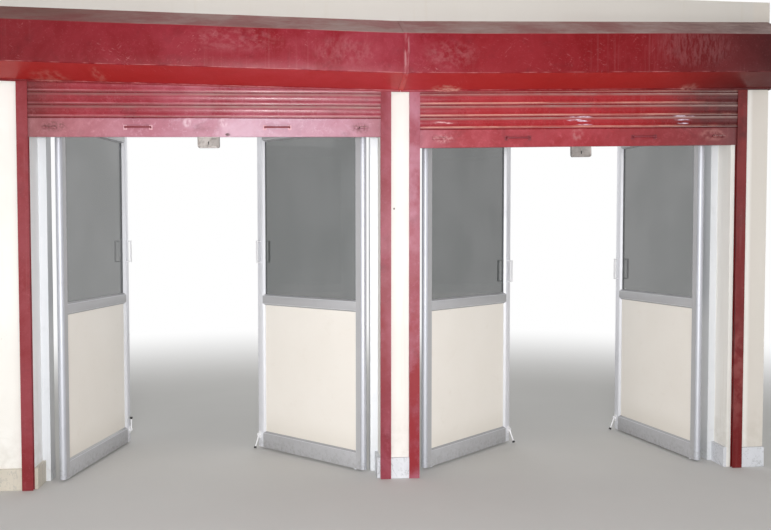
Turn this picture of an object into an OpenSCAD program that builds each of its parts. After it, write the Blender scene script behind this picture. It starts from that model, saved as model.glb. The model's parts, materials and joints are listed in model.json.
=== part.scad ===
// Shop front with two doorways under one sheet-metal hood. Each doorway has a
// rolling shutter on the outer face, rolled nearly all the way up, and a pair of
// aluminium swing doors behind it. X runs along the front, Y runs inwards and
// Z is up. The origin is the middle of the centre pier's foot.

/* [Wall] */
// Thickness of the plastered wall
wall_t = 265; // [230:5:300]
// Width of the left doorway between its shutter guides
left_bay_w = 2100; // [1900:5:2300]
// Width of the right doorway between its shutter guides
right_bay_w = 2085; // [1900:5:2300]
// Width of the pier between the doorways
centre_pier_w = 246; // [200:2:400]
// Width of the piers at both ends
end_pier_w = 225; // [180:5:500]
// Height of the doorways in the wall
opening_h = 2340; // [2100:5:2600]
// Height of the wall above the doorways
wall_over = 710; // [600:10:1100]

/* [Skirting] */
// Height of the stone skirting tiles
skirt_h = 130; // [80:5:180]
// Thickness of the tiles and their bedding
skirt_t = 20; // [12:1:24]
// Edge rounding of the tiles
skirt_r = 4; // [2:1:6]

/* [Hood] */
// How far the hood stands out from the wall
hood_out = 300; // [290:5:360]
// Height of the hood's lower edge above the doorways
hood_over = 104; // [80:1:140]
// Rise of the underside from the wall to the front
hood_under_rise = 53; // [40:1:90]
// Height of the front face
hood_front_h = 235; // [200:5:260]
// Rise of the sloping top from the front to the wall
hood_top_rise = 140; // [110:5:180]
// Thickness of the hood's sheet
hood_sheet_t = 2; // [1.5:0.5:3]
// Width of the lips that screw to the wall
hood_lip = 24; // [16:2:30]
// Fall of the left hood sheet towards the middle
hood_left_fall = 22; // [0:1:30]
// Rise of the right hood sheet towards its end
hood_right_rise = 60; // [0:1:64]
// Gap between the two hood sheets at the joint
hood_joint_gap = 2; // [1:0.5:6]

/* [Shutter guides] */
// Width of a guide channel along the wall
guide_w = 65; // [55:1:80]
// Depth of a guide channel out from the wall
guide_d = 30; // [26:1:34]
// Thickness of the channel's metal
guide_t = 3; // [2:0.5:4]
// How far the guides run up behind the hood
guide_over = 56; // [10:1:70]

/* [Shutter curtain] */
// Height that each lath covers
lath_h = 75; // [60:1:90]
// Radius of the bowed face of a lath
lath_r = 62; // [58:1:90]
// Thickness of the lath sheet
lath_t = 1.4; // [1:0.2:2]
// Radius of the curl that joins two laths
curl_r = 5.5; // [4.5:0.5:6.5]
// Height of the bottom bar's plate
bar_h = 112; // [90:1:130]
// Thickness of the bottom bar's plate
bar_t = 3; // [2:0.5:4]
// Width of the stiffening angle along the bottom bar
bar_flange_w = 18; // [14:1:22]
// How far the left bottom bar hangs below the doorway's head at mid span
left_bar_drop = 209; // [180:1:300]
// How far the right bottom bar hangs below the doorway's head at mid span
right_bar_drop = 240; // [180:1:300]
// How much higher the left curtain hangs at its right end
left_skew = 26; // [0:1:40]
// How much higher the right curtain hangs at its right end
right_skew = 44; // [0:1:50]
// Clearance between the curtain's ends and the guide webs
curtain_end_gap = 12; // [8:1:20]

/* [Shutter rolls] */
// Radius of the rolled curtain inside the hood
roll_r = 105; // [80:1:115]
// Radius of the pipe that the curtain rolls on
pipe_r = 30; // [20:1:40]
// Height of the pipe above the hood's lower fold
roll_rise = 128; // [124:1:136]
// Thickness of the bracket plates that carry the pipe
bracket_t = 6; // [4:1:8]
// Height of a bracket plate at the wall
bracket_h = 140; // [100:5:180]
// Width of the bracket plate around the pipe
bracket_rim = 24; // [16:1:30]
// Clearance between the pipe and its brackets
pipe_gap = 0.5; // [0.2:0.1:1]

/* [Shutter hardware] */
// Length of a pull handle on the bottom bar
pull_l = 160; // [120:5:200]
// Diameter of the pull's bar
pull_d = 10; // [8:1:14]
// How far a pull stands off the plate
pull_out = 26; // [20:1:32]
// Width of the plate under each foot of a pull
pull_foot_w = 22; // [16:1:30]
// Height of the plate under each foot of a pull
pull_foot_h = 30; // [24:1:40]
// Spacing of the two pulls on one bar
pull_spacing = 830; // [600:10:1100]
// Distance from the guides to the middle of a latch
latch_in = 122; // [90:1:200]
// Length of a latch bolt
latch_l = 84; // [60:1:110]
// Diameter of a latch bolt
latch_d = 12; // [8:1:16]
// Diameter of a latch knob
latch_knob_d = 8; // [6:1:10]
// Height of the staples that hold a latch bolt
latch_staple_h = 28; // [22:1:36]
// Width of a staple along the bolt
latch_staple_w = 12; // [8:1:20]
// Width of the lock housing under each bar
lock_w = 132; // [100:2:160]
// Drop of the lock housing below the bar
lock_h = 66; // [40:1:80]
// Depth of the lock housing
lock_d = 24; // [18:1:40]

/* [Door frame] */
// How far the right doorway and its door frame lie left of its shutter guides
right_frame_shift = 27; // [0:1:36]
// Width of the jamb and head tubes across the opening
frame_w = 48; // [44:1:60]
// Depth of the jamb and head tubes through the wall
frame_d = 101.6; // [90:0.1:110]
// Wall thickness of the aluminium sections
section_t = 2; // [1.5:0.1:3]

/* [Door leaves] */
// Distance from the jamb to the pivot of a leaf
pivot_in = 92; // [70:1:110]
// Thickness of a leaf
leaf_t = 44; // [38:1:48]
// Clearance between a leaf and the jamb
leaf_side_gap = 6; // [5:0.5:10]
// Clearance between two closed leaves
leaf_meet_gap = 6; // [5:0.5:10]
// Clearance under a leaf
leaf_floor_gap = 12; // [8:1:20]
// Clearance over a leaf
leaf_head_gap = 6; // [5:1:12]
// Width of the stiles at the free edges
stile_w = 48; // [40:1:60]
// Width of the stiles at the pivots
pivot_stile_w = 64; // [48:1:80]
// Height of the bottom rail
bottom_rail_h = 100; // [80:1:150]
// Underside of the middle rail above the floor
mid_rail_z = 1048; // [900:1:1150]
// Height of the middle rail
mid_rail_h = 52; // [45:1:110]
// Height of the top rail
top_rail_h = 76; // [60:1:110]
// Width of the glazing beads
bead_w = 13; // [8:1:20]
// Thickness of a bead at its thin edge and along its top
bead_lip = 3; // [1.5:0.5:5]
// How far the beads lie back from the leaf's faces
bead_back = 2; // [1:0.5:6]
// Thickness of the glass
glass_t = 5; // [4:1:8]
// Thickness of the laminate panel
panel_t = 9; // [6:1:14]
// Opening of the leaf at the left of the left doorway
left_a_open = 77.7; // [0:0.1:90]
// Opening of the leaf at the right of the left doorway
left_b_open = 45.1; // [0:0.1:90]
// Opening of the leaf at the left of the right doorway
right_a_open = 41.8; // [0:0.1:90]
// Opening of the leaf at the right of the right doorway
right_b_open = 79; // [0:0.1:90]

/* [Door hardware] */
// Length of a door pull between its post centres
handle_l = 150; // [120:5:250]
// Width of a door pull's flat bar
handle_w = 17; // [12:1:24]
// Thickness of a door pull's flat bar
handle_t = 8; // [5:1:10]
// How far a pull stands off a leaf's outer face
handle_out = 32; // [28:1:60]
// How far a pull stands off a leaf's inner face
handle_in = 50; // [28:1:60]
// Height of the middle of the pulls on the left pair of leaves
left_handle_z = 1415; // [1200:5:1500]
// Height of the middle of the pulls on the right pair of leaves
right_handle_z = 1270; // [1200:5:1500]
// Diameter of the pivot pins
pivot_d = 20; // [14:1:24]
// Clearance round the pivot pins
pivot_gap = 0.4; // [0.2:0.1:1]
// How far a top pivot pin reaches into the door head
pivot_reach = 14; // [10:1:24]
// Clearance under the bottom pivot pins
pivot_floor_gap = 1; // [0.5:0.5:3]
// Height of a holder's hinge pin above the floor
holder_z = 98; // [80:1:130]
// Width of a holder's bracket
holder_w = 26; // [20:1:32]
// Height of a holder's back plate
holder_plate_h = 52; // [44:1:70]
// Distance of the hinge pin from the leaf's face
holder_off = 13; // [11:1:20]
// Distance of a holder's middle from the leaf's free edge
holder_in = 15; // [14:1:24]
// Diameter of a holder's arm
holder_d = 9; // [7:1:12]
// Diameter of a holder's hinge pin
holder_pin_d = 5; // [4:0.5:6]
// Clearance between a holder's arm and its ears
holder_slack = 1; // [0.5:0.5:2]
// How far a lowered arm leans out from the leaf
holder_lean = 22; // [15:1:35]
// Diameter of a holder's rubber foot
holder_foot_d = 20; // [16:1:26]
// Clearance under a holder's foot
holder_foot_gap = 3; // [2:1:8]

/* [Hidden] */
$fn = 48;

// The wall's faces and the doorways' edges
out_y = -wall_t / 2;
in_y = wall_t / 2;
pier_x = centre_pier_w / 2;
left_lo = -pier_x - left_bay_w;
left_hi = -pier_x;
right_lo = pier_x;
right_hi = pier_x + right_bay_w;
end_lo = left_lo - end_pier_w;
end_hi = right_hi + end_pier_w;
door_lo = right_lo - right_frame_shift;
door_hi = right_hi - right_frame_shift;

// The door frames stand flush with the wall's inner face
frame_y = in_y - frame_d;
pivot_y = in_y - frame_d / 2;
head_z = opening_h - frame_w;
wall_h = opening_h + wall_over;

// The hood's folds
hood_z = opening_h + hood_over;
hood_fold_z = hood_z + hood_under_rise;
hood_shoulder_z = hood_fold_z + hood_front_h;
hood_top_z = hood_shoulder_z + hood_top_rise;

// Leaf sizes, measured from the pivot
leaf_top = head_z - leaf_head_gap;
nose_r = leaf_t / 2;
nose_x = -(pivot_in - leaf_side_gap - nose_r);
rail_lo = nose_x - nose_r + pivot_stile_w;
left_leaf_w = (left_bay_w - 2 * (frame_w + pivot_in) - leaf_meet_gap) / 2;
right_leaf_w = (right_bay_w - 2 * (frame_w + pivot_in) - leaf_meet_gap) / 2;
panel_lo = leaf_floor_gap + bottom_rail_h;
glass_lo = mid_rail_z + mid_rail_h;
glass_hi = leaf_top - top_rail_h;

// Left, then right: where the shutters' guides stand, and the doorways in the wall
bays = [[left_lo, left_hi], [right_lo, right_hi]];
doors = [[left_lo, left_hi], [door_lo, door_hi]];
bar_z = [opening_h - left_bar_drop, opening_h - right_bar_drop];
skews = [left_skew, right_skew];
opens = [[left_a_open, left_b_open], [right_a_open, right_b_open]];

// The hood's lower lip lies on the guides' front faces
guide_face = out_y - guide_d - hood_sheet_t;

// Depth of a lath's bow, and how far it reaches in front of the curls
lath_bow = lath_r - sqrt(lath_r * lath_r - pow((lath_h - curl_r) / 2, 2));
lath_front = (lath_bow + curl_r) / 2;

// The curtain's plane inside the guides and the roll in front of it
curtain_y = out_y - guide_d / 2;
roll_y = curtain_y - bar_t / 2 - lath_front - roll_r;
roll_z = hood_fold_z + roll_rise;

// How far the curtain runs into each guide
curtain_run = guide_w - guide_t - curtain_end_gap;

// A block from its low corner to its high corner
module block(lo, hi) {
  translate(lo) cube(hi - lo);
}

// A YZ outline swept along X from one place to another
module along_x(x0, x1) {
  translate([x0, 0, 0]) rotate([90, 0, 90]) linear_extrude(x1 - x0) children();
}

// Places a leaf, drawn closed with its pivot at the origin and its free edge at +X
module place_leaf(n) {
  bay = n < 3 ? 0 : 1;
  side = (n + 1) % 2;
  x = side == 0 ? doors[bay][0] + frame_w + pivot_in : doors[bay][1] - frame_w - pivot_in;
  turn = opens[bay][side];
  translate([x, pivot_y, 0])
    rotate([0, 0, side == 0 ? turn : -turn])
      mirror([side, 0, 0])
        children();
}

function leaf_w(n) = n < 3 ? left_leaf_w : right_leaf_w;

module left_pier() {
  color("ivory") block([end_lo, out_y, 0], [left_lo, in_y, opening_h]);
}

module centre_pier() {
  color("ivory") block([left_hi, out_y, 0], [door_lo, in_y, opening_h]);
}

module right_pier() {
  color("ivory") block([door_hi, out_y, 0], [end_hi, in_y, opening_h]);
}

module head_wall() {
  color("ivory") block([end_lo, out_y, opening_h], [end_hi, in_y, wall_h]);
}

// A tile against the outer face, with its top edge rounded
module front_tile(x0, x1) {
  difference() {
    block([x0, out_y - skirt_t, 0], [x1, out_y, skirt_h]);
    translate([x0 - 1, out_y - skirt_t + skirt_r, skirt_h - skirt_r])
      rotate([90, 0, 90])
        difference() {
          translate([-skirt_r - 1, 0, 0]) cube([skirt_r + 1, skirt_r + 1, x1 - x0 + 2]);
          translate([0, 0, -1]) cylinder(r = skirt_r, h = x1 - x0 + 4);
        }
  }
}

// A tile on a reveal: from the outer face in to the door frame
module reveal_tile(x, dir) {
  lo = min(x, x + dir * skirt_t);
  block([lo, out_y, 0], [lo + skirt_t, frame_y, skirt_h]);
}

module skirting_tiles() {
  color("gainsboro") {
    front_tile(end_lo, left_lo - guide_w);
    front_tile(left_hi + guide_w, right_lo - guide_w);
    front_tile(right_hi + guide_w, end_hi);
    reveal_tile(left_lo, 1);
    reveal_tile(left_hi, -1);
    reveal_tile(door_lo, 1);
    reveal_tile(door_hi, -1);
  }
}

// The folded sheet: a lip on the guides' front faces, the underside, the front,
// the sloping top and a lip on the wall
module hood_sheet(x0, x1) {
  t = hood_sheet_t;
  front = out_y - hood_out;
  along_x(x0, x1)
    polygon([
      [guide_face, hood_z - hood_lip / 2], [guide_face, hood_z],
      [front, hood_fold_z], [front, hood_shoulder_z],
      [out_y - t, hood_top_z], [out_y - t, hood_top_z + hood_lip],
      [out_y, hood_top_z + hood_lip], [out_y, hood_top_z - t],
      [front + t, hood_shoulder_z - t], [front + t, hood_fold_z + t],
      [guide_face + t, hood_z + t], [guide_face + t, hood_z - hood_lip / 2]
    ]);
}

// Tilts a hood half about the joint over the centre pier
module tilt_left() {
  a = atan(hood_left_fall / (-end_lo));
  translate([0, 0, hood_z - hood_left_fall / 2]) rotate([0, a, 0]) translate([0, 0, -hood_z]) children();
}

module tilt_right() {
  a = atan(hood_right_rise / end_hi);
  translate([0, 0, hood_z - hood_left_fall / 2]) rotate([0, -a, 0]) translate([0, 0, -hood_z]) children();
}

// Keeps what lies on one side of the joint over the centre pier
module trim_joint(dir) {
  reach = wall_t + hood_out;
  difference() {
    children();
    mirror([dir > 0 ? 1 : 0, 0, 0])
      translate([-hood_joint_gap / 2, -reach, hood_z - hood_over])
        cube([guide_w, reach, hood_top_z - hood_z + 2 * hood_over]);
  }
}

module hood_left() {
  color("firebrick") trim_joint(-1) tilt_left() hood_sheet(end_lo, guide_w / 2);
}

module hood_right() {
  color("firebrick") trim_joint(1) tilt_right() hood_sheet(-guide_w / 2, end_hi);
}

module hood_end(x0, x1) {
  t = hood_sheet_t;
  front = out_y - hood_out + t;
  along_x(x0, x1)
    polygon([
      [out_y, hood_z - hood_lip / 2], [guide_face + t, hood_z - hood_lip / 2], [guide_face + t, hood_z + t],
      [front, hood_fold_z + t], [front, hood_shoulder_z - t], [out_y, hood_top_z - t]
    ]);
}

module hood_end_plates() {
  color("firebrick") {
    tilt_left() hood_end(end_lo, end_lo + hood_sheet_t);
    tilt_right() hood_end(end_hi - hood_sheet_t, end_hi);
  }
}

// A bracket plate with a bore for the pipe
module bracket(x0) {
  along_x(x0, x0 + bracket_t)
    difference() {
      union() {
        translate([roll_y, roll_z]) circle(r = pipe_r + bracket_rim);
        polygon([
          [roll_y, roll_z - pipe_r - bracket_rim], [out_y, roll_z - bracket_h / 2],
          [out_y, roll_z + bracket_h / 2], [roll_y, roll_z + pipe_r + bracket_rim]
        ]);
      }
      translate([roll_y, roll_z]) circle(r = pipe_r + pipe_gap);
    }
}

module roller_brackets() {
  color("dimgray") for (b = bays) {
    bracket(b[0] - guide_w - bracket_t);
    bracket(b[1] + guide_w);
  }
}

// One guide: a channel with its mouth towards the doorway
module guide(x, dir) {
  h = hood_z + guide_over;
  mirror([dir < 0 ? 1 : 0, 0, 0])
    translate([dir * x, out_y - guide_d, 0])
      difference() {
        cube([guide_w, guide_d, h]);
        translate([-1, guide_t, -1]) cube([guide_w - guide_t + 1, guide_d - 2 * guide_t, h + 2]);
      }
}

module shutter_guides() {
  color("firebrick") for (b = bays) {
    guide(b[0], -1);
    guide(b[1], 1);
  }
}

// The rolled-up part of each curtain on its pipe
module shutter_rolls() {
  pipe = guide_w + bracket_t;
  color("firebrick") for (b = bays)
    translate([b[0], roll_y, roll_z])
      rotate([0, 90, 0])
        union() {
          translate([0, 0, -pipe]) cylinder(r = pipe_r, h = b[1] - b[0] + 2 * pipe);
          translate([0, 0, -curtain_run]) cylinder(r = roll_r, h = b[1] - b[0] + 2 * curtain_run);
        }
}

// Skews what hangs on a roll, as a shutter that was left up unevenly
module hang(i) {
  b = bays[i];
  mid = (b[0] + b[1]) / 2;
  a = atan(skews[i] / (b[1] - b[0]));
  translate([mid, 0, bar_z[i]]) rotate([0, -a, 0]) translate([-mid, 0, -bar_z[i]]) children();
}

// One lath seen from its end: a bowed sheet with a curl at its foot
module lath_outline() {
  translate([0, (lath_h + curl_r) / 2])
    intersection() {
      translate([lath_r - lath_front, 0])
        difference() {
          circle(r = lath_r, $fn = 96);
          circle(r = lath_r - lath_t, $fn = 96);
        }
      translate([-lath_r, (curl_r - lath_h) / 2 - lath_t * 2])
        square([lath_r + curl_r, lath_h - curl_r + lath_t * 2]);
    }
  difference() {
    circle(r = curl_r);
    circle(r = curl_r - lath_t);
    translate([0, -curl_r - 1]) square([curl_r + 1, curl_r + 1]);
  }
}

module shutter_laths() {
  color("firebrick") for (i = [0, 1]) {
    start = bar_z[i] + bar_h + curl_r;
    count = floor((roll_z - start) / lath_h);
    hang(i) for (k = [0 : count - 1])
      translate([0, curtain_y - bar_t / 2, start + k * lath_h])
        along_x(bays[i][0] - curtain_run, bays[i][1] + curtain_run)
          lath_outline();
  }
}

// A flat plate with a stiffening flange turned inwards along its lower edge,
// which stops short of the doorway's sides
module bottom_bars() {
  color("palevioletred") for (i = [0, 1]) {
    lo = bays[i][0];
    hi = bays[i][1];
    hang(i) {
      translate([lo - curtain_run, curtain_y - bar_t, bar_z[i]])
        cube([hi - lo + 2 * curtain_run, bar_t, bar_h]);
      flange_lo = max(lo, doors[i][0]) + bar_t;
      flange_hi = min(hi, doors[i][1]) - bar_t;
      translate([flange_lo, curtain_y - bar_t, bar_z[i]])
        cube([flange_hi - flange_lo, bar_t + bar_flange_w, bar_t]);
    }
  }
}

// A round-bar pull with its ends bent back onto two foot plates
module bar_pull(x, z) {
  front = curtain_y - bar_t;
  leg = (pull_l - pull_d) / 2;
  translate([x, front - pull_out, z]) rotate([0, 90, 0]) cylinder(d = pull_d, h = pull_l, center = true);
  for (s = [-1, 1]) {
    translate([x + s * leg, front, z]) rotate([90, 0, 0]) cylinder(d = pull_d, h = pull_out);
    translate([x + s * leg - pull_foot_w / 2, front - bar_t, z - pull_foot_h / 2])
      cube([pull_foot_w, bar_t, pull_foot_h]);
  }
}

module bar_pulls() {
  color("palevioletred") for (i = [0, 1], s = [-1, 1]) {
    mid = (bays[i][0] + bays[i][1]) / 2;
    hang(i) bar_pull(mid + s * pull_spacing / 2, bar_z[i] + bar_h / 2);
  }
}

// A sliding bolt in two staples, with a knob towards the middle of the bar
module bar_latch(x, z, dir) {
  front = curtain_y - bar_t;
  off = latch_d / 2;
  translate([x, front - off, z]) rotate([0, 90, 0]) cylinder(d = latch_d, h = latch_l, center = true);
  for (s = [-1, 1])
    translate([x + s * latch_l / 3 - latch_staple_w / 2, front - latch_d - bar_t, z - latch_staple_h / 2])
      cube([latch_staple_w, latch_d + bar_t, latch_staple_h]);
  translate([x - dir * latch_l / 8, front - off, z])
    rotate([90, 0, 0])
      cylinder(d = latch_knob_d, h = latch_d * 2);
}

module bar_latches() {
  color("indianred") for (i = [0, 1]) {
    z = bar_z[i] + bar_h / 2;
    hang(i) {
      bar_latch(bays[i][0] + latch_in, z, -1);
      bar_latch(bays[i][1] - latch_in, z, 1);
    }
  }
}

module lock_housings() {
  back = curtain_y - bar_t;
  color("silver") for (i = [0, 1]) {
    mid = (bays[i][0] + bays[i][1]) / 2;
    hang(i)
      block([mid - lock_w / 2, back, bar_z[i] - lock_h], [mid + lock_w / 2, back + lock_d, bar_z[i]]);
  }
}

// A rectangular tube standing up
module upright(x0) {
  difference() {
    block([x0, frame_y, 0], [x0 + frame_w, in_y, opening_h]);
    translate([x0 + section_t, frame_y + section_t, -1])
      cube([frame_w - 2 * section_t, frame_d - 2 * section_t, opening_h + 2]);
  }
}

module door_jambs() {
  color("gainsboro") for (d = doors) {
    upright(d[0]);
    upright(d[1] - frame_w);
  }
}

// The head tubes, bored through their undersides for the top pivot pins
module door_heads() {
  color("gainsboro") for (d = doors) {
    lo = d[0] + frame_w;
    hi = d[1] - frame_w;
    difference() {
      block([lo, frame_y, head_z], [hi, in_y, opening_h]);
      translate([lo - 1, frame_y + section_t, head_z + section_t])
        cube([hi - lo + 2, frame_d - 2 * section_t, frame_w - 2 * section_t]);
      for (x = [lo + pivot_in, hi - pivot_in])
        translate([x, pivot_y, head_z - 1]) cylinder(d = pivot_d + 2 * pivot_gap, h = section_t + 2);
    }
  }
}

// Hinge stile with its rounded nose, and the square lock stile
module leaf_stiles(n) {
  w = leaf_w(n);
  tall = leaf_top - leaf_floor_gap;
  color("lightgray") place_leaf(n) translate([0, 0, leaf_floor_gap]) {
    linear_extrude(tall)
      difference() {
        union() {
          translate([nose_x, 0]) circle(r = nose_r, $fn = 64);
          translate([nose_x, -leaf_t / 2]) square([pivot_stile_w - nose_r, leaf_t]);
        }
        translate([nose_x, 0]) circle(r = nose_r - section_t, $fn = 64);
        translate([nose_x, -leaf_t / 2 + section_t])
          square([pivot_stile_w - nose_r - section_t, leaf_t - 2 * section_t]);
      }
    linear_extrude(tall)
      difference() {
        translate([w - stile_w, -leaf_t / 2]) square([stile_w, leaf_t]);
        translate([w - stile_w + section_t, -leaf_t / 2 + section_t])
          square([stile_w - 2 * section_t, leaf_t - 2 * section_t]);
      }
  }
}

// A rail between the stiles, hollow like its section
module rail(x0, x1, z0, h) {
  difference() {
    block([x0, -leaf_t / 2, z0], [x1, leaf_t / 2, z0 + h]);
    translate([x0 - 1, -leaf_t / 2 + section_t, z0 + section_t])
      cube([x1 - x0 + 2, leaf_t - 2 * section_t, h - 2 * section_t]);
  }
}

// Three rails, with the pivot pins standing out of the lowest and the highest
module leaf_rails(n) {
  x1 = leaf_w(n) - stile_w;
  color("lightgray") place_leaf(n) {
    rail(rail_lo, x1, leaf_floor_gap, bottom_rail_h);
    rail(rail_lo, x1, mid_rail_z, mid_rail_h);
    rail(rail_lo, x1, glass_hi, top_rail_h);
    translate([0, 0, pivot_floor_gap])
      cylinder(d = pivot_d, h = leaf_floor_gap + section_t - pivot_floor_gap);
    translate([0, 0, leaf_top - section_t])
      cylinder(d = pivot_d, h = section_t + leaf_head_gap + pivot_reach);
  }
}

// One bead seen from its end: its back on the pane, its top sloping towards it
module bead_outline(pane_t) {
  low = pane_t / 2;
  high = leaf_t / 2 - bead_back;
  polygon([[0, low], [bead_w, low], [bead_w, low + bead_lip], [bead_lip, high], [0, high]]);
}

// A ring of beads round a pane, on both faces
module bead_ring(n, z0, z1, pane_t) {
  x1 = leaf_w(n) - stile_w;
  for (face = [0, 1])
    mirror([0, face, 0]) {
      translate([rail_lo, 0, z0]) linear_extrude(z1 - z0) bead_outline(pane_t);
      translate([x1, 0, z0]) mirror([1, 0, 0]) linear_extrude(z1 - z0) bead_outline(pane_t);
      translate([rail_lo, 0, z0]) along_x(0, x1 - rail_lo) mirror([1, -1, 0]) bead_outline(pane_t);
      translate([rail_lo, 0, z1])
        along_x(0, x1 - rail_lo)
          rotate(-90)
            bead_outline(pane_t);
    }
}

module leaf_beads(n) {
  color("gainsboro") place_leaf(n) {
    bead_ring(n, panel_lo, mid_rail_z, panel_t);
    bead_ring(n, glass_lo, glass_hi, glass_t);
  }
}

module leaf_glass(n) {
  color("lightsteelblue", 0.5) place_leaf(n)
    block([rail_lo, -glass_t / 2, glass_lo], [leaf_w(n) - stile_w, glass_t / 2, glass_hi]);
}

module leaf_panel(n) {
  color("linen") place_leaf(n)
    block([rail_lo, -panel_t / 2, panel_lo], [leaf_w(n) - stile_w, panel_t / 2, mid_rail_z]);
}

// A D pull of flat bar with square corners on each face
module leaf_pulls(n) {
  x = leaf_w(n) - (stile_w + handle_w) / 2;
  z = n < 3 ? left_handle_z : right_handle_z;
  color("gainsboro") place_leaf(n) for (s = [0, 1]) {
    reach = s == 0 ? handle_out : handle_in;
    mirror([0, s, 0])
      translate([x, -leaf_t / 2 - reach, z - (handle_l + handle_t) / 2])
        difference() {
          cube([handle_w, reach, handle_l + handle_t]);
          translate([-1, handle_t, handle_t]) cube([handle_w + 2, reach, handle_l - handle_t]);
        }
  }
}

// A holder's arm with its foot, hanging down from the hinge pin
module holder_arm(l) {
  translate([0, 0, -l]) cylinder(d = holder_d, h = l);
  translate([0, 0, -l]) cylinder(d = holder_foot_d, h = holder_foot_d / 2);
}

// A kick-down holder on the outer face: leaf 1 has its arm up, the others down
module leaf_holder(n) {
  x = leaf_w(n) - holder_in;
  y = -leaf_t / 2;
  ear = (holder_w - holder_d) / 2 - holder_slack;
  drop = holder_z - holder_foot_gap;
  color("silver") place_leaf(n) {
    translate([x - holder_w / 2, y - section_t, holder_z - holder_plate_h / 2])
      cube([holder_w, section_t, holder_plate_h]);
    for (s = [-1, 1])
      translate([x + s * (holder_w - ear) / 2 - ear / 2, y - holder_off - holder_d / 2, holder_z - holder_d])
        cube([ear, holder_off + holder_d / 2, holder_d * 2]);
    translate([x - holder_w / 2, y - holder_off, holder_z])
      rotate([0, 90, 0])
        cylinder(d = holder_pin_d, h = holder_w);
    translate([x, y - holder_off, holder_z])
      rotate([n == 1 ? 180 : -holder_lean, 0, 0])
        holder_arm(n == 1 ? drop : (drop - holder_foot_d / 2 * sin(holder_lean)) / cos(holder_lean));
  }
}

left_pier();
centre_pier();
right_pier();
head_wall();
skirting_tiles();
hood_left();
hood_right();
hood_end_plates();
roller_brackets();
shutter_guides();
shutter_rolls();
shutter_laths();
bottom_bars();
bar_pulls();
bar_latches();
lock_housings();
door_jambs();
door_heads();
for (n = [1 : 4]) {
  leaf_stiles(n);
  leaf_rails(n);
  leaf_beads(n);
  leaf_glass(n);
  leaf_panel(n);
  leaf_pulls(n);
  leaf_holder(n);
}
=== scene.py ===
import bmesh
import bpy
import json
import math
from mathutils import Matrix, Vector, noise


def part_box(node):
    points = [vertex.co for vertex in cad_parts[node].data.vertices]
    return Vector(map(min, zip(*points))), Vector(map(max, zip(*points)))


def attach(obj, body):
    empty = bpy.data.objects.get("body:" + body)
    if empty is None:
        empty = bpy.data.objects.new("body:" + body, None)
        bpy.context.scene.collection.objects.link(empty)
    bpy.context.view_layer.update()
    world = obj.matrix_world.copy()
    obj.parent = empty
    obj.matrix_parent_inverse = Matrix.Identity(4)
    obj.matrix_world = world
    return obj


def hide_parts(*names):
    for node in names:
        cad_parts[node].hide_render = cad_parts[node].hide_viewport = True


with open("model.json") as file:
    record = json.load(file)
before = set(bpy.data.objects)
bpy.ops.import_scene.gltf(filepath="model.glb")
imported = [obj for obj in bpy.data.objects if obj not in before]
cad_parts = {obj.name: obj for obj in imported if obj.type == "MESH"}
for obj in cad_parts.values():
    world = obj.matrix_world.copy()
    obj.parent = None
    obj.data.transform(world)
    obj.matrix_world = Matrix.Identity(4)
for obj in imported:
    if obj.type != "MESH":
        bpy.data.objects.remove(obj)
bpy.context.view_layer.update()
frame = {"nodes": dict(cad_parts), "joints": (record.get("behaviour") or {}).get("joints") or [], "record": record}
nodes = frame["nodes"]
scene = bpy.context.scene
print("frame loaded:", len(nodes), "nodes")


# shader maths

def tone(red, green, blue):
    # a colour read off in 8 bits, as the shader wants it
    return tuple(((v / 255 + 0.055) / 1.055) ** 2.4 if v > 10 else v / 3294 for v in (red, green, blue)) + (1.0,)


class Wire:
    # one node output; sums on it add their Math nodes
    def __init__(self, paint, socket):
        self.paint = paint
        self.socket = socket

    def sum(self, operation, first, second):
        return self.paint.add("ShaderNodeMath", {"operation": operation}, {0: first, 1: second})

    def __add__(self, other):
        return self.sum("ADD", self, other)

    def __radd__(self, other):
        return self.sum("ADD", other, self)

    def __sub__(self, other):
        return self.sum("SUBTRACT", self, other)

    def __rsub__(self, other):
        return self.sum("SUBTRACT", other, self)

    def __mul__(self, other):
        return self.sum("MULTIPLY", self, other)

    def __rmul__(self, other):
        return self.sum("MULTIPLY", other, self)


class Nodes:
    # a node tree, with its nodes added by name
    def __init__(self, owner):
        self.owner = owner
        owner.use_nodes = True
        self.tree = owner.node_tree
        self.tree.nodes.clear()

    def add(self, kind, settings, inputs, output=0):
        node = self.tree.nodes.new(kind)
        for key, value in settings.items():
            if key == "stops":
                for k, (at, colour) in enumerate(value):
                    stop = node.color_ramp.elements[k] if k < 2 else node.color_ramp.elements.new(at)
                    stop.position = at
                    stop.color = colour
            else:
                setattr(node, key, value)
        for key, value in inputs.items():
            if isinstance(value, Wire):
                self.tree.links.new(value.socket, node.inputs[key])
            else:
                node.inputs[key].default_value = value
        return None if output is None else Wire(self, node.outputs[output])

    def seen(self):
        # 1 for the camera's rays and for those off gloss and through glass
        rays = self.add("ShaderNodeLightPath", {}, {}, "Is Camera Ray")
        for ray in ("Is Glossy Ray", "Is Transmission Ray"):
            path = self.add("ShaderNodeLightPath", {}, {}, ray)
            rays = self.add("ShaderNodeMath", {"operation": "MAXIMUM"}, {0: rays, 1: path})
        return rays


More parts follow.
